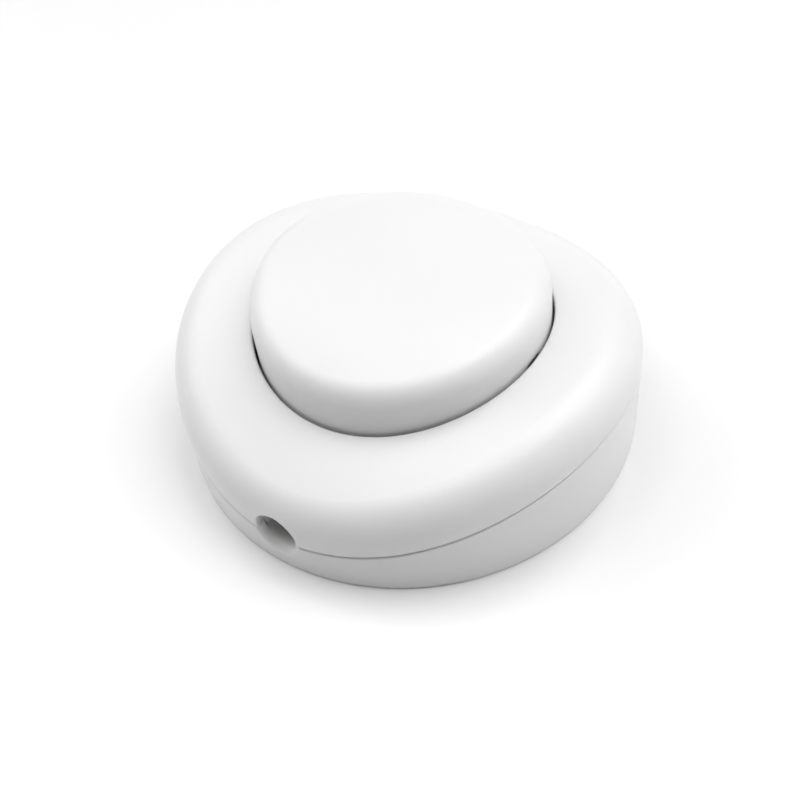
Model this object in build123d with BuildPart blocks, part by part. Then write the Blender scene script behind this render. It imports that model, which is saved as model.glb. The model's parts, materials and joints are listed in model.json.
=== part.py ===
from build123d import *
from math import cos, radians, sin, sqrt, tan
import os

# Round in-line foot switch for a lamp cord, in millimetres.
# X runs along the cord, Z is up, and the foot of the base stands on Z = 0.
# The parting line and the top of the cover are one arch at two heights: low at the two
# cord entries, high at the two flanks. The button's top is arched a little more, and domed.

# Outer form
base_radius = 32.0
wall_draft = 1.2
arch_radius = 66.0
seam_end = 5.52
cover_height = 6.2
button_height = 7.3
button_arch_radius = 53.0
button_dome_radius = 105.0
shoulder_round = 5.5
foot_round = 0.6
wall = 2.4
floor = 2.0
seam_gap = 0.2
seam_break = 0.25
lip_height = 1.5
lip_clearance = 0.15

# Push button and its opening
button_radius = 20.15
button_gap = 0.35
button_wall = 2.0
button_round = 3.2
button_travel = 4.0
rim_round = 0.3
collar_wall = 1.6
collar_bottom = 13.0
tab_count = 4
tab_start_angle = 45
tab_width = 7.0
tab_height = 1.8
tab_reach = 1.1
tab_play = 0.25
skirt_notch = 2.6
key_width = 2.4
key_depth = 0.8
key_height = 2.4
key_clearance = 0.25

# Cord entries and clamps
cord_height = 6.8
cord_bore = 6.2
mouth_round_base = 1.4
mouth_round_cover = 0.5
entry_collar = 0.4
entry_width = 11.0
clamp_inset = 5.8
clamp_length = 4.6
clamp_width = 14.8
clamp_top = 1.0
clamp_gap = 0.5
clamp_screw_spread = 5.3
clamp_screw_shank = 2.4
clamp_screw_head = 4.0
clamp_screw_head_height = 1.2
clamp_screw_bite = 5.5
clamp_pilot_margin = 0.5

# Screws that hold the two shells together
housing_screw_inset = 3.7
housing_screw_shank = 2.9
housing_screw_head = 4.8
housing_screw_head_height = 2.0
housing_screw_length = 11.0
housing_screw_sink = 3.2
housing_screw_clearance = 0.25
post_radius = 3.4
post_split = 8.0

# Contact carrier, the moulded block that holds the mechanism
carrier_lift = 2.4
carrier_rim = 0.4
carrier_plate = 1.6
well_wall = 2.0
well_clearance = 0.3
carrier_screw_inset = 2.9
carrier_screw_angle = 45
carrier_screw_shank = 2.2
carrier_screw_head = 4.0
carrier_screw_head_height = 1.4
carrier_screw_length = 4.4
pad_radius = 2.6
lid_boss_radius = 2.3
lid_boss_count = 3
lid_boss_start_angle = 90
lid_thickness = 1.6
lid_play = 0.25
lid_screw_shank = 1.8
lid_screw_head = 3.4
lid_screw_head_height = 1.2
lid_screw_length = 7.0

# Indexing rotor and its twisted drive
rotor_radius = 7.8
rotor_body = 3.0
rotor_bore = 3.7
tooth_count = 8
tooth_height = 1.2
tooth_mesh_gap = 0.15
mesh_turn = 1.0
ratchet_disc = 1.6
neck_radius = 5.4
neck_clearance = 0.3
neck_stand = 0.6
stem_side = 4.8
stem_corner = 0.6
stem_clearance = 0.12
stem_flange_radius = 5.2
stem_flange = 1.5
screw_slot_width = 0.7
screw_slot_depth = 0.8
stem_screw_shank = 2.2
stem_screw_head = 3.8
stem_screw_head_height = 1.4
stem_screw_bite = 2.3

# Contacts and terminals
strip_thickness = 0.7
strip_width = 3.0
strip_start = 4.9
rivet_place = 6.2
rivet_radius = 1.3
rivet_height = 0.7
contact_gap = 0.1
bridge_thickness = 0.7
bridge_ring = 0.9
bridge_arm_width = 2.4
bridge_arm_inset = 0.2
terminal_gap = 1.3
terminal_length = 5.6
terminal_width = 6.0
terminal_height = 6.0
wire_bore = 3.0
wire_bore_height = 2.6
wire_bore_depth = 4.2
terminal_screw_shank = 2.8
terminal_screw_head = 4.2
terminal_screw_head_height = 1.6
terminal_screw_length = 2.4
link_length = 11.4
link_width = 4.4
link_gap = 0.4
link_screw_spread = 3.3
fence_wall = 1.0
fence_height = 3.5
fence_clearance = 0.2

# Springs
return_wire = 0.8
return_spring_radius = 7.6
return_turns = 3.5
spring_seat = 1.0
rotor_wire = 0.5
rotor_spring_radius = 4.2
rotor_spring_pocket = 2.0
rotor_spring_clearance = 0.6
rotor_turns = 4.5
spring_end_gap = 0.1

# Heights over the centre, from the parting line at the cord entries up, to a hundredth
arch_rise = arch_radius - sqrt(arch_radius**2 - base_radius**2)
seam_crest = round(seam_end + arch_rise, 2)
cover_crest = seam_crest + cover_height
button_crest = cover_crest + button_height

# Heights that follow from the stack of pieces
carrier_bottom = floor + carrier_lift
plate_top = carrier_bottom + carrier_plate
rivet_top = plate_top + strip_thickness + rivet_height
bridge_bottom = rivet_top + contact_gap
rotor_bottom = bridge_bottom + bridge_thickness
tooth_root = rotor_bottom + rotor_body
ratchet_bottom = tooth_root + tooth_mesh_gap + tooth_height
ratchet_top = ratchet_bottom + ratchet_disc
lid_bottom = ratchet_top + lid_play
lid_top = lid_bottom + lid_thickness
button_ceiling = button_crest - button_wall
spring_top = button_ceiling - spring_seat
stem_top = button_ceiling - stem_flange
stem_bottom = ratchet_bottom - tooth_mesh_gap
skirt_bottom = collar_bottom - tab_play - tab_height
groove_top = collar_bottom + key_height + button_travel + key_clearance

# Radii that follow from the fits
opening_radius = button_radius + button_gap
inner_radius = base_radius - wall
lip_split = base_radius - wall / 2
well_radius = rotor_radius + well_clearance
well_outer = well_radius + well_wall
lid_screw_place = well_outer + lid_boss_radius / 2
terminal_start = well_outer + terminal_gap
terminal_middle = terminal_start + terminal_length / 2
link_place = well_outer + link_gap + link_width / 2
carrier_radius = terminal_start + terminal_length + carrier_rim
carrier_screw_place = carrier_radius - carrier_screw_inset
bridge_hole = rotor_spring_radius + rotor_wire / 2 + rotor_spring_clearance
bridge_reach = rotor_radius - bridge_arm_inset
clamp_place = inner_radius - clamp_inset
housing_screw_place = inner_radius - housing_screw_inset
bore_radius = cord_bore / 2
arch_reach = base_radius + wall
tooth_angle = 360 / tooth_count
lead = button_travel * tooth_count
screw_fit = 0.05
carrier_screw_places = [(side * carrier_screw_place * cos(radians(carrier_screw_angle)),
                         carrier_screw_place * sin(radians(carrier_screw_angle))) for side in (-1, 1)]


def wall_radius(height):
    """Outer radius of the drafted wall at a height above the foot."""
    return base_radius + height * tan(radians(wall_draft))


def under_arch(crest, radius=arch_radius):
    """Upright section of everything below an arch that peaks over the centre."""
    ends = crest - radius + sqrt(radius**2 - arch_reach**2)
    with BuildSketch(Plane.XZ) as section:
        with BuildLine():
            ThreePointArc((-arch_reach, ends), (0, crest), (arch_reach, ends))
            Polyline((arch_reach, ends), (arch_reach, -wall), (-arch_reach, -wall), (-arch_reach, ends))
        make_face()
    return section.sketch


def dome_axis(crest):
    """Axis along X about which the button's top is curved across the cord."""
    return Axis((0, 0, crest - button_dome_radius), (1, 0, 0))


def screw(place, seat, head_radius, head_height, shank_radius, length, up=True):
    """Slotted screw with its shank pointing down from the seat, or up if turned over."""
    way = 1 if up else -1
    with BuildPart() as piece:
        with Locations((place[0], place[1], seat + way * head_height / 2)):
            Cylinder(head_radius, head_height)
            with Locations((0, 0, way * (head_height - screw_slot_depth) / 2)):
                Box(2 * head_radius, screw_slot_width, screw_slot_depth, mode=Mode.SUBTRACT)
        with Locations((place[0], place[1], seat - way * length / 2)):
            Cylinder(shank_radius, length)
    return piece.part


def save(part, name):
    """Label a finished piece and write it to its own file."""
    part.label = name
    export_step(part, f"parts/{name}.step")


os.makedirs("parts", exist_ok=True)

# Cord ways: the round passages through both shells, one at each end
with BuildPart() as cord_ways:
    for side in (-1, 1):
        with BuildSketch(Plane.YZ.offset(side * (clamp_place - clamp_length))):
            with Locations((0, cord_height)):
                Circle(bore_radius)
        extrude(amount=side * (arch_reach - clamp_place + clamp_length))


def entry_mouth(mouth_round):
    """Two trumpets that round the outer ends of the cord ways."""
    with BuildPart() as mouth:
        with BuildSketch(Plane.XZ):
            with BuildLine():
                mouth_end = wall_radius(cord_height)
                start = (mouth_end - mouth_round, cord_height + bore_radius)
                end = (mouth_end, cord_height + bore_radius + mouth_round)
                TangentArc(start, end, tangent=(1, 0))
                Polyline(end, (arch_reach, end[1]), (arch_reach, cord_height),
                         (start[0], cord_height), start)
            make_face()
        revolve(axis=Axis((0, 0, cord_height), (1, 0, 0)))
        mirror(about=Plane.YZ)
    return mouth.part


# Base shell: floor, drafted wall up to the arched parting line, and everything it carries
with BuildPart() as lip_groove:
    with BuildSketch(Plane.XY):
        Circle(lip_split)
        Circle(inner_radius, mode=Mode.SUBTRACT)
    extrude(amount=seam_crest)
    extrude(under_arch(seam_crest - lip_height), amount=arch_reach, both=True, mode=Mode.SUBTRACT)

with BuildPart() as base_shell:
    Cone(base_radius, wall_radius(seam_crest), seam_crest, align=(Align.CENTER, Align.CENTER, Align.MIN))
    fillet(base_shell.edges().group_by(Axis.Z)[0], foot_round)
    extrude(under_arch(seam_crest), amount=arch_reach, both=True, mode=Mode.INTERSECT)
    fillet(base_shell.faces().filter_by(GeomType.CYLINDER).edges(), seam_break)
    with BuildSketch(Plane.XY.offset(floor)):
        Circle(inner_radius)
    extrude(amount=seam_crest, mode=Mode.SUBTRACT)
    # Posts for the housing screws, and pads under the carrier
    with BuildSketch(Plane.XY.offset(floor)):
        with Locations((0, housing_screw_place), (0, -housing_screw_place)):
            Circle(post_radius)
    extrude(amount=post_split - floor)
    with BuildSketch(Plane.XY.offset(floor)):
        with PolarLocations(carrier_screw_place, 4, start_angle=carrier_screw_angle):
            Circle(pad_radius)
    extrude(amount=carrier_lift)
    # Saddles under the cord clamps, and the thick collar round each entry
    with BuildSketch(Plane.XY.offset(floor)):
        with Locations((clamp_place, 0), (-clamp_place, 0)):
            Rectangle(clamp_length, clamp_width)
        with Locations((inner_radius, 0), (-inner_radius, 0)):
            Rectangle(2 * entry_collar, entry_width)
    extrude(amount=cord_height - floor)
    extrude(under_arch(seam_crest), amount=arch_reach, both=True, mode=Mode.INTERSECT)
    add(lip_groove.part, mode=Mode.SUBTRACT)
    add(cord_ways.part, mode=Mode.SUBTRACT)
    add(entry_mouth(mouth_round_base), mode=Mode.SUBTRACT)
    # Sunk holes for the housing screws, from below
    with BuildSketch(Plane.XY):
        with Locations((0, housing_screw_place), (0, -housing_screw_place)):
            Circle(housing_screw_head / 2 + housing_screw_clearance)
    extrude(amount=housing_screw_sink, mode=Mode.SUBTRACT)
    with BuildSketch(Plane.XY):
        with Locations((0, housing_screw_place), (0, -housing_screw_place)):
            Circle(housing_screw_shank / 2 + screw_fit)
    extrude(amount=post_split, mode=Mode.SUBTRACT)
    # Pilot holes for the clamp screws and the carrier screws
    with BuildSketch(Plane.XY.offset(cord_height)):
        with GridLocations(2 * clamp_place, 2 * clamp_screw_spread, 2, 2):
            Circle(clamp_screw_shank / 2 + screw_fit)
    extrude(amount=-clamp_screw_bite - clamp_pilot_margin, mode=Mode.SUBTRACT)
    with BuildSketch(Plane.XY.offset(plate_top - carrier_screw_length)):
        with Locations(*carrier_screw_places):
            Circle(carrier_screw_shank / 2 + screw_fit)
    extrude(amount=carrier_screw_length, mode=Mode.SUBTRACT)
save(base_shell.part, "base_shell")

# Top cover: arched shell with a rounded shoulder, the button's collar and the screw pillars
with BuildPart() as cover_hollow:
    Cylinder(inner_radius, cover_crest, align=(Align.CENTER, Align.CENTER, Align.MIN))
    extrude(under_arch(cover_crest - wall), amount=arch_reach, both=True, mode=Mode.INTERSECT)
    fillet(cover_hollow.faces().sort_by(Axis.Z)[-1].edges(), shoulder_round - wall)

with BuildPart() as collar:
    with BuildSketch(Plane.XY.offset(collar_bottom)):
        Circle(opening_radius + collar_wall)
    extrude(amount=cover_crest - collar_bottom)
    extrude(under_arch(cover_crest - wall / 2), amount=arch_reach, both=True, mode=Mode.INTERSECT)

with BuildPart() as lip:
    with BuildSketch(Plane.XY):
        Circle(lip_split - lip_clearance)
        Circle(inner_radius, mode=Mode.SUBTRACT)
    extrude(amount=seam_crest + wall)
    extrude(under_arch(seam_crest - lip_height + lip_clearance), amount=arch_reach, both=True,
            mode=Mode.SUBTRACT)
    extrude(under_arch(seam_crest + wall), amount=arch_reach, both=True, mode=Mode.INTERSECT)

with BuildPart() as top_cover:
    Cone(base_radius, wall_radius(cover_crest), cover_crest, align=(Align.CENTER, Align.CENTER, Align.MIN))
    extrude(under_arch(cover_crest), amount=arch_reach, both=True, mode=Mode.INTERSECT)
    fillet(top_cover.faces().sort_by(Axis.Z)[-1].edges(), shoulder_round)
    extrude(under_arch(seam_crest + seam_gap), amount=arch_reach, both=True, mode=Mode.SUBTRACT)
    parting_face = top_cover.faces().filter_by(GeomType.CYLINDER).sort_by(Axis.Z)[0]
    fillet(parting_face.edges(), seam_break)
    add(cover_hollow.part, mode=Mode.SUBTRACT)
    add(lip.part)
    add(collar.part)
    # Screw pillars that stand on the posts of the base
    with BuildSketch(Plane.XY.offset(post_split)):
        with Locations((0, housing_screw_place), (0, -housing_screw_place)):
            Circle(post_radius)
    extrude(amount=cover_crest - wall / 2 - post_split)
    with BuildSketch(Plane.XY.offset(post_split)):
        with Locations((0, housing_screw_place), (0, -housing_screw_place)):
            Circle(housing_screw_shank / 2 + screw_fit)
    extrude(amount=housing_screw_length + housing_screw_sink - post_split, mode=Mode.SUBTRACT)
    # Upper half of the collar round each cord entry
    with BuildSketch(Plane.XY.offset(cord_height + seam_gap)):
        with Locations((inner_radius, 0), (-inner_radius, 0)):
            Rectangle(2 * entry_collar, entry_width)
    extrude(amount=bore_radius + entry_collar - seam_gap)
    # Opening for the button, with its rim broken
    with BuildSketch(Plane.XY):
        Circle(opening_radius)
    extrude(amount=button_crest, mode=Mode.SUBTRACT)
    fillet(top_cover.edges(Select.LAST).sort_by(Axis.Z)[-1], rim_round)
    # Keys that stop the button from turning
    with BuildSketch(Plane.XY.offset(collar_bottom)):
        with Locations((0, opening_radius), (0, -opening_radius)):
            Rectangle(key_width, 2 * (key_depth + button_gap))
    extrude(amount=key_height)
    add(cord_ways.part, mode=Mode.SUBTRACT)
    add(entry_mouth(mouth_round_cover), mode=Mode.SUBTRACT)
save(top_cover.part, "top_cover")

# Push button: hollow arched cap with spring seat, stem boss, tabs and key grooves
with BuildPart() as button_hollow:
    with BuildSketch(Plane.XY):
        Circle(button_radius - button_wall)
    extrude(amount=button_crest)
    revolve(under_arch(button_ceiling, button_arch_radius), axis=dome_axis(button_ceiling),
            mode=Mode.INTERSECT)
    fillet(button_hollow.faces().sort_by(Axis.Z)[-1].edges(), button_round - button_wall)

with BuildPart() as push_button:
    with BuildSketch(Plane.XY.offset(skirt_bottom)):
        Circle(button_radius)
    extrude(amount=button_crest - skirt_bottom)
    revolve(under_arch(button_crest, button_arch_radius), axis=dome_axis(button_crest),
            mode=Mode.INTERSECT)
    fillet(push_button.faces().sort_by(Axis.Z)[-1].edges(), button_round)
    add(button_hollow.part, mode=Mode.SUBTRACT)
    # Tabs that catch under the collar, clear of the cord and the keys
    with BuildSketch(Plane.XY.offset(skirt_bottom)):
        with PolarLocations(button_radius - button_wall / 2, tab_count, start_angle=tab_start_angle):
            Rectangle(button_wall + 2 * tab_reach, tab_width)
        Circle(button_radius - button_wall, mode=Mode.SUBTRACT)
    extrude(amount=tab_height)
    # Grooves that slide over the keys of the collar
    with BuildSketch(Plane.XY.offset(skirt_bottom)):
        with Locations((0, button_radius), (0, -button_radius)):
            Rectangle(key_width + 2 * key_clearance, 2 * (key_depth + key_clearance))
    extrude(amount=groove_top - skirt_bottom, mode=Mode.SUBTRACT)
    # Clearance over the cords where they pass under the skirt
    with BuildSketch(Plane.YZ):
        with Locations((0, skirt_bottom)):
            Rectangle(cord_bore + button_travel, 2 * skirt_notch)
    extrude(amount=button_radius, both=True, mode=Mode.SUBTRACT)
    # Boss for the stem and the ring that seats the return spring
    with BuildSketch(Plane.XY.offset(stem_top)):
        Circle(stem_flange_radius)
    extrude(amount=button_crest - button_wall / 2 - stem_top)
    with BuildSketch(Plane.XY.offset(spring_top)):
        Circle(return_spring_radius + return_wire)
        Circle(return_spring_radius - return_wire, mode=Mode.SUBTRACT)
    extrude(amount=button_crest - button_wall / 2 - spring_top)
    with BuildSketch(Plane.XY.offset(stem_top)):
        Circle(stem_screw_shank / 2 + screw_fit)
    extrude(amount=stem_screw_bite, mode=Mode.SUBTRACT)
save(push_button.part, "push_button")


def twisted_bar(side, corner, bottom, top):
    """Square bar twisted about Z by one turn in each lead, true to one angle at Z = 0."""
    with BuildSketch(Plane.XY) as section:
        RectangleRounded(side, side, corner)
    face = section.sketch.faces()[0].rotate(Axis.Z, 360 * bottom / lead)
    face = face.moved(Location((0, 0, bottom)))
    return Solid.extrude_linear_with_rotation(face, (0, 0, bottom), (0, 0, top - bottom),
                                              360 * (top - bottom) / lead)


# Drive stem: twisted square plunger under the button, with a flange against its boss
with BuildPart() as drive_stem:
    add(twisted_bar(stem_side, stem_corner, stem_bottom, stem_top - stem_flange))
    with BuildSketch(Plane.XY.offset(stem_top - stem_flange)):
        Circle(stem_flange_radius)
    extrude(amount=stem_flange)
    with BuildSketch(Plane.XY.offset(stem_bottom)):
        Circle(stem_screw_shank / 2 + screw_fit)
    extrude(amount=stem_top - stem_bottom, mode=Mode.SUBTRACT)
save(drive_stem.part, "drive_stem")

stem_screw = screw((0, 0), stem_bottom, stem_screw_head / 2, stem_screw_head_height,
                   stem_screw_shank / 2, stem_screw_bite + stem_top - stem_bottom, up=False)
save(stem_screw, "stem_screw")


def saw_tooth(high_side):
    """One radial saw tooth, centred on X, below its ramp or above it."""
    half = radians(tooth_angle / 2)
    with BuildPart() as tooth:
        for radius in (rotor_bore, rotor_radius / cos(half)):
            reach = radius * sin(half)
            face = Plane((radius * cos(half), 0, tooth_root), x_dir=(0, 1, 0), z_dir=(1, 0, 0))
            with BuildSketch(face):
                if high_side:
                    Polygon((-reach, tooth_height), (reach, 0), (reach, tooth_height), align=None)
                else:
                    Polygon((-reach, 0), (reach, 0), (-reach, tooth_height), align=None)
        loft()
    return tooth.part


# Contact rotor: disc with a crown of saw teeth on top and a spring pocket below
with BuildPart() as contact_rotor:
    tooth = saw_tooth(high_side=False)
    for number in range(tooth_count):
        add(tooth.rotate(Axis.Z, number * tooth_angle))
    with BuildSketch(Plane.XY.offset(rotor_bottom)):
        Circle(rotor_radius)
    extrude(amount=rotor_body)
    with BuildSketch(Plane.XY.offset(rotor_bottom)):
        Circle(rotor_bore)
    extrude(amount=rotor_body + tooth_height, mode=Mode.SUBTRACT)
    with BuildSketch(Plane.XY.offset(rotor_bottom)):
        Circle(bridge_hole)
    extrude(amount=rotor_spring_pocket, mode=Mode.SUBTRACT)
    with BuildSketch(Plane.XY.offset(rotor_bottom)):
        Circle(rotor_radius)
    extrude(amount=rotor_body + tooth_height, mode=Mode.INTERSECT)
save(contact_rotor.part, "contact_rotor")

# Drive ratchet: the matching crown, turned by the twisted stem
with BuildPart() as drive_ratchet:
    tooth = saw_tooth(high_side=True)
    for number in range(tooth_count):
        add(tooth.rotate(Axis.Z, number * tooth_angle - mesh_turn).moved(Location((0, 0, tooth_mesh_gap))))
    with BuildSketch(Plane.XY.offset(ratchet_bottom)):
        Circle(rotor_radius)
    extrude(amount=ratchet_disc)
    with BuildSketch(Plane.XY.offset(ratchet_top)):
        Circle(neck_radius)
    extrude(amount=lid_top + neck_stand - ratchet_top)
    with BuildSketch(Plane.XY.offset(tooth_root)):
        Circle(rotor_bore)
    extrude(amount=ratchet_bottom - tooth_root, mode=Mode.SUBTRACT)
    with BuildSketch(Plane.XY.offset(tooth_root)):
        Circle(rotor_radius)
    extrude(amount=lid_top + neck_stand - tooth_root, mode=Mode.INTERSECT)
    add(twisted_bar(stem_side + 2 * stem_clearance, stem_corner, tooth_root,
                    lid_top + neck_stand + stem_clearance), mode=Mode.SUBTRACT)
save(drive_ratchet.part, "drive_ratchet")

# Contact bridge: brass star under the rotor, its arms between the contacts at rest
with BuildPart() as contact_bridge:
    with BuildSketch(Plane.XY.offset(bridge_bottom)):
        Circle(bridge_hole + bridge_ring)
        with PolarLocations(bridge_reach / 2, tooth_count // 2, start_angle=tooth_angle):
            Rectangle(bridge_reach, bridge_arm_width)
        Circle(bridge_hole, mode=Mode.SUBTRACT)
    extrude(amount=bridge_thickness)
save(contact_bridge.part, "contact_bridge")

# Contact carrier: round plate with the rotor's well, lid bosses and terminal fences
with BuildPart() as contact_carrier:
    with BuildSketch(Plane.XY.offset(carrier_bottom)):
        Circle(carrier_radius)
    extrude(amount=carrier_plate)
    with BuildSketch(Plane.XY.offset(plate_top)):
        Circle(well_outer)
        with PolarLocations(lid_screw_place, lid_boss_count, start_angle=lid_boss_start_angle):
            Circle(lid_boss_radius)
        Circle(well_radius, mode=Mode.SUBTRACT)
    extrude(amount=lid_bottom - plate_top)
    with BuildSketch(Plane.XY.offset(plate_top)):
        for side in (-1, 1):
            for edge in (-1, 1):
                place = terminal_width / 2 + fence_clearance + fence_wall / 2
                with Locations((side * terminal_middle, edge * place)):
                    Rectangle(terminal_length, fence_wall)
    extrude(amount=fence_height)
    # Slots in the well for the live strips
    with BuildSketch(Plane.XY.offset(plate_top)):
        Rectangle(2 * terminal_start, strip_width + 2 * fence_clearance)
    extrude(amount=strip_thickness + fence_clearance, mode=Mode.SUBTRACT)
    with BuildSketch(Plane.XY.offset(carrier_bottom)):
        with Locations(*carrier_screw_places):
            Circle(carrier_screw_shank / 2 + screw_fit)
    extrude(amount=carrier_plate, mode=Mode.SUBTRACT)
    with BuildSketch(Plane.XY.offset(lid_top - lid_screw_length)):
        with PolarLocations(lid_screw_place, lid_boss_count, start_angle=lid_boss_start_angle):
            Circle(lid_screw_shank / 2 + screw_fit)
    extrude(amount=lid_screw_length, mode=Mode.SUBTRACT)
save(contact_carrier.part, "contact_carrier")

# Mechanism lid: plate over the well, the lower seat of the return spring
with BuildPart() as mechanism_lid:
    with BuildSketch(Plane.XY.offset(lid_bottom)):
        Circle(well_outer)
        with PolarLocations(lid_screw_place, lid_boss_count, start_angle=lid_boss_start_angle):
            Circle(lid_boss_radius)
        Circle(neck_radius + neck_clearance, mode=Mode.SUBTRACT)
        with PolarLocations(lid_screw_place, lid_boss_count, start_angle=lid_boss_start_angle):
            Circle(lid_screw_shank / 2 + screw_fit, mode=Mode.SUBTRACT)
    extrude(amount=lid_thickness)
save(mechanism_lid.part, "mechanism_lid")


def coil_spring(radius, wire, turns, bottom, top):
    """Open coil of round wire between two seats."""
    height = top - bottom - 2 * spring_end_gap - wire
    start = bottom + spring_end_gap + wire / 2
    with BuildPart() as spring:
        with BuildLine() as path:
            Helix(pitch=height / turns, height=height, radius=radius, center=(0, 0, start))
        with BuildSketch(Plane(origin=path.line @ 0, z_dir=path.line % 0)):
            Circle(wire / 2)
        sweep(path=path.line, is_frenet=True)
    return spring.part


return_spring = coil_spring(return_spring_radius, return_wire, return_turns, lid_top, spring_top)
save(return_spring, "return_spring")

rotor_spring = coil_spring(rotor_spring_radius, rotor_wire, rotor_turns, plate_top,
                           rotor_bottom + rotor_spring_pocket)
save(rotor_spring, "rotor_spring")

# Live terminals: brass strip under the well wall with a block for the wire, one at each end
for name, side in (("live_terminal_in", -1), ("live_terminal_out", 1)):
    with BuildPart() as live_terminal:
        with BuildSketch(Plane.XY.offset(plate_top)):
            with Locations((side * (strip_start + terminal_start) / 2, 0)):
                Rectangle(terminal_start - strip_start, strip_width)
        extrude(amount=strip_thickness)
        with BuildSketch(Plane.XY.offset(plate_top)):
            with Locations((side * terminal_middle, 0)):
                Rectangle(terminal_length, terminal_width)
        extrude(amount=terminal_height)
        with BuildSketch(Plane.YZ.offset(side * (terminal_start + terminal_length))):
            with Locations((0, plate_top + wire_bore_height)):
                Circle(wire_bore / 2)
        extrude(amount=-side * wire_bore_depth, mode=Mode.SUBTRACT)
        with BuildSketch(Plane.XY.offset(plate_top + terminal_height)):
            with Locations((side * terminal_middle, 0)):
                Circle(terminal_screw_shank / 2 + screw_fit)
        extrude(amount=-terminal_screw_length, mode=Mode.SUBTRACT)
    save(live_terminal.part, name)

# Neutral link: brass bar with a wire bore right through and one screw for each wire
with BuildPart() as neutral_link:
    with BuildSketch(Plane.XY.offset(plate_top)):
        with Locations((0, -link_place)):
            Rectangle(link_length, link_width)
    extrude(amount=terminal_height)
    with BuildSketch(Plane.YZ):
        with Locations((-link_place, plate_top + wire_bore_height)):
            Circle(wire_bore / 2)
    extrude(amount=link_length / 2, both=True, mode=Mode.SUBTRACT)
    with BuildSketch(Plane.XY.offset(plate_top + terminal_height)):
        with Locations((link_screw_spread, -link_place), (-link_screw_spread, -link_place)):
            Circle(terminal_screw_shank / 2 + screw_fit)
    extrude(amount=-terminal_screw_length, mode=Mode.SUBTRACT)
save(neutral_link.part, "neutral_link")

# Contact rivets on the inner ends of the live strips
with BuildPart() as contact_rivets:
    with BuildSketch(Plane.XY.offset(plate_top + strip_thickness)):
        with Locations((rivet_place, 0), (-rivet_place, 0)):
            Circle(rivet_radius)
    extrude(amount=rivet_height)
save(contact_rivets.part, "contact_rivets")

# Cord clamps: bars that press the cords into the saddles of the base
for name, side in (("cord_clamp_in", -1), ("cord_clamp_out", 1)):
    with BuildPart() as cord_clamp:
        with BuildSketch(Plane.XY.offset(cord_height + clamp_gap)):
            with Locations((side * clamp_place, 0)):
                Rectangle(clamp_length, clamp_width)
        extrude(amount=bore_radius + clamp_top - clamp_gap)
        add(cord_ways.part, mode=Mode.SUBTRACT)
        with BuildSketch(Plane.XY.offset(cord_height)):
            with Locations((side * clamp_place, clamp_screw_spread),
                           (side * clamp_place, -clamp_screw_spread)):
                Circle(clamp_screw_shank / 2 + screw_fit)
        extrude(amount=2 * bore_radius, mode=Mode.SUBTRACT)
    save(cord_clamp.part, name)


def screw_group(name, places, seat, head_radius, head_height, shank_radius, length, up=True):
    """Identical screws as separate solids in one file."""
    group = Compound(children=[
        screw(place, seat, head_radius, head_height, shank_radius, length, up).solid() for place in places
    ])
    save(group, name)


clamp_seat = cord_height + bore_radius + clamp_top
screw_group("cord_clamp_screws",
            [(x, y) for x in (-clamp_place, clamp_place) for y in (-clamp_screw_spread, clamp_screw_spread)],
            clamp_seat, clamp_screw_head / 2, clamp_screw_head_height, clamp_screw_shank / 2,
            clamp_seat - cord_height + clamp_screw_bite)
screw_group("terminal_screws",
            [(-terminal_middle, 0), (terminal_middle, 0), (-link_screw_spread, -link_place),
             (link_screw_spread, -link_place)],
            plate_top + terminal_height, terminal_screw_head / 2, terminal_screw_head_height,
            terminal_screw_shank / 2, terminal_screw_length)
screw_group("carrier_screws", carrier_screw_places, plate_top, carrier_screw_head / 2,
            carrier_screw_head_height, carrier_screw_shank / 2, carrier_screw_length)
lid_screw_angles = [radians(lid_boss_start_angle + number * 360 / lid_boss_count)
                    for number in range(lid_boss_count)]
screw_group("lid_screws",
            [(lid_screw_place * cos(angle), lid_screw_place * sin(angle)) for angle in lid_screw_angles],
            lid_top, lid_screw_head / 2, lid_screw_head_height, lid_screw_shank / 2, lid_screw_length)
screw_group("housing_screws", [(0, housing_screw_place), (0, -housing_screw_place)], housing_screw_sink,
            housing_screw_head / 2, housing_screw_head_height, housing_screw_shank / 2,
            housing_screw_length, up=False)
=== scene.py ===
import json
import math

import bmesh
import bpy
from mathutils import Matrix, Vector


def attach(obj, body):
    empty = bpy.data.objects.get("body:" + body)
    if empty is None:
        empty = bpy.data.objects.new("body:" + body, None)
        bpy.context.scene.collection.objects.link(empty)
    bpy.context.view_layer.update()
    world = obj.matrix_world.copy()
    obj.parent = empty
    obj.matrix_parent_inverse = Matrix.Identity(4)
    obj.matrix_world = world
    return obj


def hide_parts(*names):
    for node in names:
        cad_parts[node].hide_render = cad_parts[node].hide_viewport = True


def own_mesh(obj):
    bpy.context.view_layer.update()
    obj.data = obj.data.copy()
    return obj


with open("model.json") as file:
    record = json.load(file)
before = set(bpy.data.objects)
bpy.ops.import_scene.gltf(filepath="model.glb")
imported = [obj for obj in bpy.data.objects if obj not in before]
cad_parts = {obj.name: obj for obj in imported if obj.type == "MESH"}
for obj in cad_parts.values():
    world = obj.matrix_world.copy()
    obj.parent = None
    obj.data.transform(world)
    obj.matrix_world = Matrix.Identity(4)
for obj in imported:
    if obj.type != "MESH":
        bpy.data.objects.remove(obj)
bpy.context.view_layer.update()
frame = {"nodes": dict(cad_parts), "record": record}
MM = 0.001
UP_AXIS = Vector((0, 0, 1))

# Sizes of the return spring, the same as in the model's source
SPRING_RADIUS = 7.6 * MM
SPRING_WIRE = 0.8 * MM
SPRING_TURNS = 3.5
SPRING_SEAT = 16.0 * MM
SPRING_TOP = 24.3 * MM
SPRING_END_GAP = 0.1 * MM

# Mesh of the spring's wire; at its ends the pitch is less than the mean by the closing share
STEPS_PER_TURN = 72
WIRE_SIDES = 20
END_CLOSING = 0.6
SHARP_ANGLE = math.radians(40)

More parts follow.
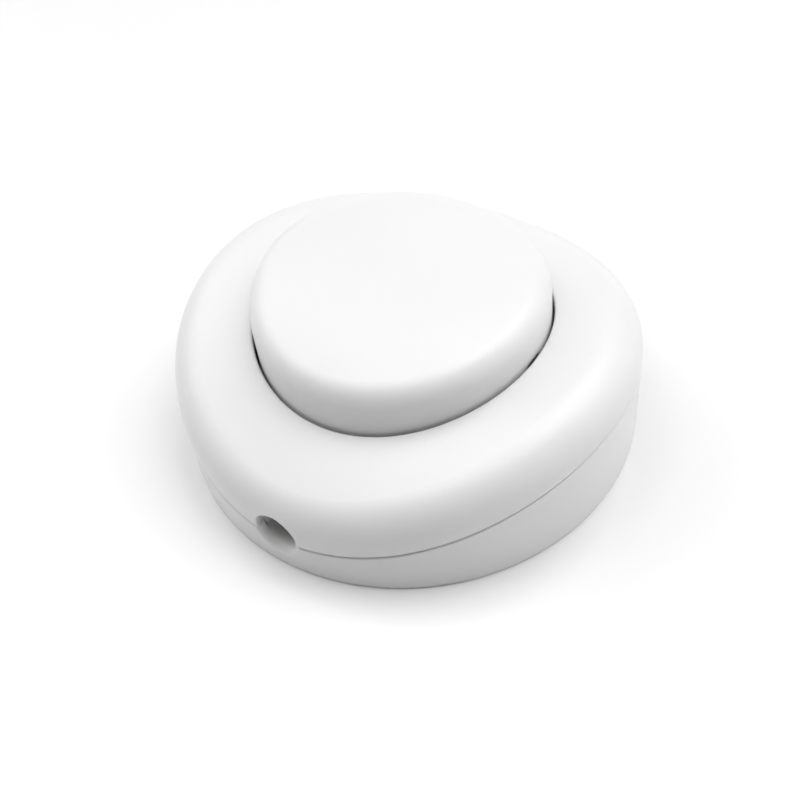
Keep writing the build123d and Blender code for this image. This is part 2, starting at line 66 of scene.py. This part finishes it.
# Noises in the materials, as waves per metre and octaves of finer detail
TONE_NOISE = (45.0, 2.0)
GLOSS_NOISE = (700.0, 4.0)
GRAIN_NOISE = (4200.0, 3.0)
STREAK_NOISE = (900.0, 5.0)
SCRATCH_NOISE = (2500.0, 3.0)

# Part of a noise's values that spans the whole change of gloss or tone
GLOSS_RANGE = (0.3, 0.7)
TONE_RANGE = (0.35, 0.65)

# Moulded plastic: its darkest tone and its least and most roughness are shares of the finish's own
PLASTIC_SHADE = 0.985
PLASTIC_GLOSSY = 0.9
PLASTIC_DULL = 1.12
PLASTIC_IOR = 1.49
PLASTIC_SCATTER = 1.2 * MM
SCATTER_PER_COLOUR = (1.0, 1.0, 1.0)
GRAIN_DEPTH = 0.02 * MM

# Worked metal: the same shares, with fine scratches in place of the grain
METAL_SHADE = 0.82
METAL_GLOSSY = 0.75
METAL_DULL = 1.3
SCRATCH_STRENGTH = 0.15
SCRATCH_DEPTH = 0.01 * MM

# How many times finer a metal's streaks are along x, y and z
EVEN = (1.0, 1.0, 1.0)
STAMPED = (1.0, 8.0, 1.0)
TURNED = (1.0, 1.0, 6.0)

# Camera, fitted to the outlines in the photograph
CAMERA_ELEVATION = math.radians(48.17)
CAMERA_AZIMUTH = math.radians(-51.0)
CAMERA_ROLL = math.radians(7.86)
CAMERA_DISTANCE = 182.7 * MM
CAMERA_RIGHT = -1.98 * MM
CAMERA_UP = 0.55 * MM
CAMERA_LENS = 56.25
CAMERA_SENSOR = 36.0
CAMERA_NEAR = 0.01
CAMERA_FAR = 20.0

# Floor, which glows more with distance so that it stays pale where the lamps don't reach
FLOOR_HALF = 10.0
FLOOR_COLOUR = (0.81, 0.81, 0.81, 1)
FLOOR_ROUGHNESS = 0.22
FLOOR_GLOW = 0.05
FAR_GLOW = 0.9
GLOW_START = 0.15
GLOW_END = 1.0
WHITE = (1, 1, 1, 1)

# Glow of the world, brighter near the horizon, where low views see past the floor
WORLD_GLOW = 0.02
HORIZON_GLOW = 0.4
HORIZON_START = math.sin(math.radians(3))
HORIZON_END = math.sin(math.radians(8))

# Lamps: name, direction as right, away and up from the camera, and power in watts
LAMP_DISTANCE = 1.5
LAMP_SIZE = 1.25
LAMPS = (
    ("overhead", (0.0, 0.0, 1.0), 9.0),
    ("left_high", (-0.8, 0.4, 1.4), 7.8),
    ("right_high", (0.8, 0.2, 1.4), 14.7),
    ("back_left", (-0.8, 0.8, 0.8), 4.0),
    ("front_right", (0.9, -0.6, 0.4), 2.6),
    ("right_low", (1.0, 0.1, 0.3), 4.6),
    ("left_low", (-1.0, 0.3, 0.3), 3.2),
)


def new_object(name, data):
    """Object with the given data, linked to the scene."""
    obj = bpy.data.objects.new(name, data)
    bpy.context.scene.collection.objects.link(obj)
    return obj


def mesh_object(name, bm):
    """Object made from a bmesh."""
    mesh = bpy.data.meshes.new(name)
    bmesh.ops.recalc_face_normals(bm, faces=bm.faces)
    bm.to_mesh(mesh)
    bm.free()
    return new_object(name, mesh)


def coil(name, radius, wire, turns, bottom, top):
    """Round wire wound between two heights, its end turns wound closer than the middle."""
    bm = bmesh.new()
    steps = round(turns * STEPS_PER_TURN)
    low, high = bottom + wire / 2, top - wire / 2
    corners = [2 * math.pi * j / WIRE_SIDES for j in range(WIRE_SIDES)]
    rings = []
    for i in range(steps + 1):
        share = i / steps
        risen = share - END_CLOSING * math.sin(2 * math.pi * share) / (2 * math.pi)
        angle = 2 * math.pi * turns * share
        outward = Vector((math.cos(angle), math.sin(angle), 0))
        centre = outward * radius + UP_AXIS * (low + (high - low) * risen)
        rings.append([
            bm.verts.new(centre + wire / 2 * (outward * math.cos(corner) + UP_AXIS * math.sin(corner)))
            for corner in corners])
    for here, there in zip(rings, rings[1:]):
        for j in range(WIRE_SIDES):
            k = (j + 1) % WIRE_SIDES
            bm.faces.new((here[j], here[k], there[k], there[j]))
    bm.faces.new(rings[0])
    bm.faces.new(reversed(rings[-1]))
    return mesh_object(name, bm)


def new_material(name):
    """New material with its node tree, its shader and the object's own coordinates."""
    material = bpy.data.materials.new(name)
    material.use_nodes = True
    tree = material.node_tree
    shader = tree.nodes["Principled BSDF"]
    place = tree.nodes.new("ShaderNodeTexCoord").outputs["Object"]
    return material, tree, shader, place


def noise(tree, place, kind, fineness=EVEN):
    """Noise texture of one of the kinds above, made finer along each axis as given."""
    scale, detail = kind
    mapping = tree.nodes.new("ShaderNodeMapping")
    mapping.inputs["Scale"].default_value = fineness
    tree.links.new(place, mapping.inputs["Vector"])
    texture = tree.nodes.new("ShaderNodeTexNoise")
    texture.inputs["Scale"].default_value = scale
    texture.inputs["Detail"].default_value = detail
    tree.links.new(mapping.outputs["Vector"], texture.inputs["Vector"])
    return texture.outputs["Fac"]


def mapped(tree, value, source, target, socket, interpolation="LINEAR"):
    """Feed a socket with a value that is carried from one range to another."""
    node = tree.nodes.new("ShaderNodeMapRange")
    node.interpolation_type = interpolation
    node.inputs["From Min"].default_value, node.inputs["From Max"].default_value = source
    node.inputs["To Min"].default_value, node.inputs["To Max"].default_value = target
    tree.links.new(value, node.inputs["Value"])
    tree.links.new(node.outputs["Result"], socket)


def tinted(tree, value, colour, shade, socket):
    """Feed a socket with a colour that a noise darkens to a share of itself."""
    ramp = tree.nodes.new("ShaderNodeValToRGB")
    darkest, lightest = ramp.color_ramp.elements
    darkest.position, lightest.position = TONE_RANGE
    darkest.color = (*(c * shade for c in colour), 1)
    lightest.color = (*colour, 1)
    tree.links.new(value, ramp.inputs["Fac"])
    tree.links.new(ramp.outputs["Color"], socket)


def bumped(tree, value, strength, depth, socket):
    """Feed a normal socket with bumps from a noise."""
    node = tree.nodes.new("ShaderNodeBump")
    node.inputs["Strength"].default_value = strength
    node.inputs["Distance"].default_value = depth
    tree.links.new(value, node.inputs["Height"])
    tree.links.new(node.outputs["Normal"], socket)


def moulded_plastic(name, colour, roughness, grain, translucency):
    """Moulded plastic: faint drift of tone, uneven gloss and a fine spark-eroded grain."""
    material, tree, shader, place = new_material(name)
    gloss = (roughness * PLASTIC_GLOSSY, roughness * PLASTIC_DULL)
    tinted(tree, noise(tree, place, TONE_NOISE), colour, PLASTIC_SHADE, shader.inputs["Base Color"])
    mapped(tree, noise(tree, place, GLOSS_NOISE), GLOSS_RANGE, gloss, shader.inputs["Roughness"])
    bumped(tree, noise(tree, place, GRAIN_NOISE), grain, GRAIN_DEPTH, shader.inputs["Normal"])
    shader.inputs["IOR"].default_value = PLASTIC_IOR
    shader.inputs["Subsurface Weight"].default_value = translucency
    shader.inputs["Subsurface Radius"].default_value = SCATTER_PER_COLOUR
    shader.inputs["Subsurface Scale"].default_value = PLASTIC_SCATTER
    return material


def worked_metal(name, colour, roughness, fineness):
    """Drawn or stamped metal: fine streaks in gloss and tone, and fine scratches."""
    material, tree, shader, place = new_material(name)
    gloss = (roughness * METAL_GLOSSY, roughness * METAL_DULL)
    streaks = noise(tree, place, STREAK_NOISE, fineness)
    scratches = noise(tree, place, SCRATCH_NOISE, fineness)
    tinted(tree, streaks, colour, METAL_SHADE, shader.inputs["Base Color"])
    mapped(tree, streaks, GLOSS_RANGE, gloss, shader.inputs["Roughness"])
    bumped(tree, scratches, SCRATCH_STRENGTH, SCRATCH_DEPTH, shader.inputs["Normal"])
    shader.inputs["Metallic"].default_value = 1.0
    return material


def studio_lamp(name, aim, power):
    """Large soft lamp that faces the object from a direction, and is itself out of view."""
    data = bpy.data.lights.new(name, "AREA")
    data.size = LAMP_SIZE
    data.energy = power
    lamp = new_object(name, data)
    lamp.location = aim * LAMP_DISTANCE
    lamp.rotation_mode = "QUATERNION"
    lamp.rotation_quaternion = aim.to_track_quat("Z", "Y")
    lamp.visible_camera = False


# The return spring, rebuilt as a smooth coil that rides with the housing in place of the model's own
# spring, which is hidden
spring = coil("coiled_wire", SPRING_RADIUS, SPRING_WIRE, SPRING_TURNS,
              SPRING_SEAT + SPRING_END_GAP, SPRING_TOP - SPRING_END_GAP)
spring.data.shade_smooth()
spring.data.set_sharp_from_angle(angle=SHARP_ANGLE)
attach(spring, "housing")
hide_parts("return_spring")
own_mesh(spring)

# Finishes by material slot
finishes = {
    "shell_plastic": moulded_plastic(
        "white_shell", (0.765, 0.765, 0.765), roughness=0.34, grain=0.10, translucency=0.25),
    "button_plastic": moulded_plastic(
        "white_button", (0.775, 0.775, 0.775), roughness=0.36, grain=0.12, translucency=0.25),
    "carrier_plastic": moulded_plastic(
        "ivory_carrier", (0.62, 0.59, 0.52), roughness=0.5, grain=0.25, translucency=0.1),
    "mechanism_plastic": moulded_plastic(
        "grey_mechanism", (0.50, 0.51, 0.50), roughness=0.45, grain=0.2, translucency=0.1),
    "contact_brass": worked_metal("stamped_brass", (0.78, 0.56, 0.22), roughness=0.3, fineness=STAMPED),
    "rivet_silver": worked_metal("silver_face", (0.86, 0.85, 0.82), roughness=0.22, fineness=EVEN),
    "screw_steel": worked_metal("plated_screw", (0.62, 0.62, 0.63), roughness=0.32, fineness=TURNED),
    "spring_steel": worked_metal("drawn_wire", (0.50, 0.51, 0.53), roughness=0.25, fineness=EVEN),
}
for row in frame["record"]["subparts"]:
    node_mesh = frame["nodes"][row["node"]].data
    node_mesh.materials.clear()
    node_mesh.materials.append(finishes[row["material_slot"]])
spring.data.materials.append(finishes["spring_steel"])

# Camera's axes: back points from the object to the camera, level lies in the floor
back = Vector((math.sin(CAMERA_AZIMUTH) * math.cos(CAMERA_ELEVATION),
               -math.cos(CAMERA_AZIMUTH) * math.cos(CAMERA_ELEVATION),
               math.sin(CAMERA_ELEVATION)))
level = Vector((math.cos(CAMERA_AZIMUTH), math.sin(CAMERA_AZIMUTH), 0))
upright = back.cross(level)
right = level * math.cos(CAMERA_ROLL) - upright * math.sin(CAMERA_ROLL)
up = level * math.sin(CAMERA_ROLL) + upright * math.cos(CAMERA_ROLL)
spot = back * CAMERA_DISTANCE + right * CAMERA_RIGHT + up * CAMERA_UP

camera = new_object("camera", bpy.data.cameras.new("camera"))
camera.data.lens = CAMERA_LENS
camera.data.sensor_width = CAMERA_SENSOR
camera.data.clip_start = CAMERA_NEAR
camera.data.clip_end = CAMERA_FAR
camera.matrix_world = Matrix.Translation(spot) @ Matrix((right, up, back)).transposed().to_4x4()
bpy.context.scene.camera = camera

# Floor
floor_grid = bmesh.new()
bmesh.ops.create_grid(floor_grid, x_segments=1, y_segments=1, size=FLOOR_HALF)
floor = mesh_object("floor", floor_grid)
pale, floor_tree, floor_shader, floor_place = new_material("pale_floor")
floor_shader.inputs["Base Color"].default_value = FLOOR_COLOUR
floor_shader.inputs["Roughness"].default_value = FLOOR_ROUGHNESS
floor_shader.inputs["Emission Color"].default_value = WHITE
reach = floor_tree.nodes.new("ShaderNodeVectorMath")
reach.operation = "LENGTH"
floor_tree.links.new(floor_place, reach.inputs[0])
mapped(floor_tree, reach.outputs["Value"], (GLOW_START, GLOW_END), (FLOOR_GLOW, FAR_GLOW),
       floor_shader.inputs["Emission Strength"], "SMOOTHSTEP")
floor.data.materials.append(pale)

# World, graded by how steeply a ray goes up or down
world = bpy.data.worlds.new("studio")
bpy.context.scene.world = world
world.use_nodes = True
sky_tree = world.node_tree
background = sky_tree.nodes["Background"]
background.inputs["Color"].default_value = WHITE
gaze = sky_tree.nodes.new("ShaderNodeSeparateXYZ")
sky_tree.links.new(sky_tree.nodes.new("ShaderNodeTexCoord").outputs["Generated"], gaze.inputs["Vector"])
steepness = sky_tree.nodes.new("ShaderNodeMath")
steepness.operation = "ABSOLUTE"
sky_tree.links.new(gaze.outputs["Z"], steepness.inputs[0])
mapped(sky_tree, steepness.outputs["Value"], (HORIZON_START, HORIZON_END), (HORIZON_GLOW, WORLD_GLOW),
       background.inputs["Strength"], "SMOOTHSTEP")

# Lamps
away = UP_AXIS.cross(level)
for lamp_name, (rightward, outward, upward), power in LAMPS:
    aim = level * rightward + away * outward + UP_AXIS * upward
    studio_lamp(lamp_name, aim.normalized(), power)

bpy.context.scene.view_settings.view_transform = "Standard"
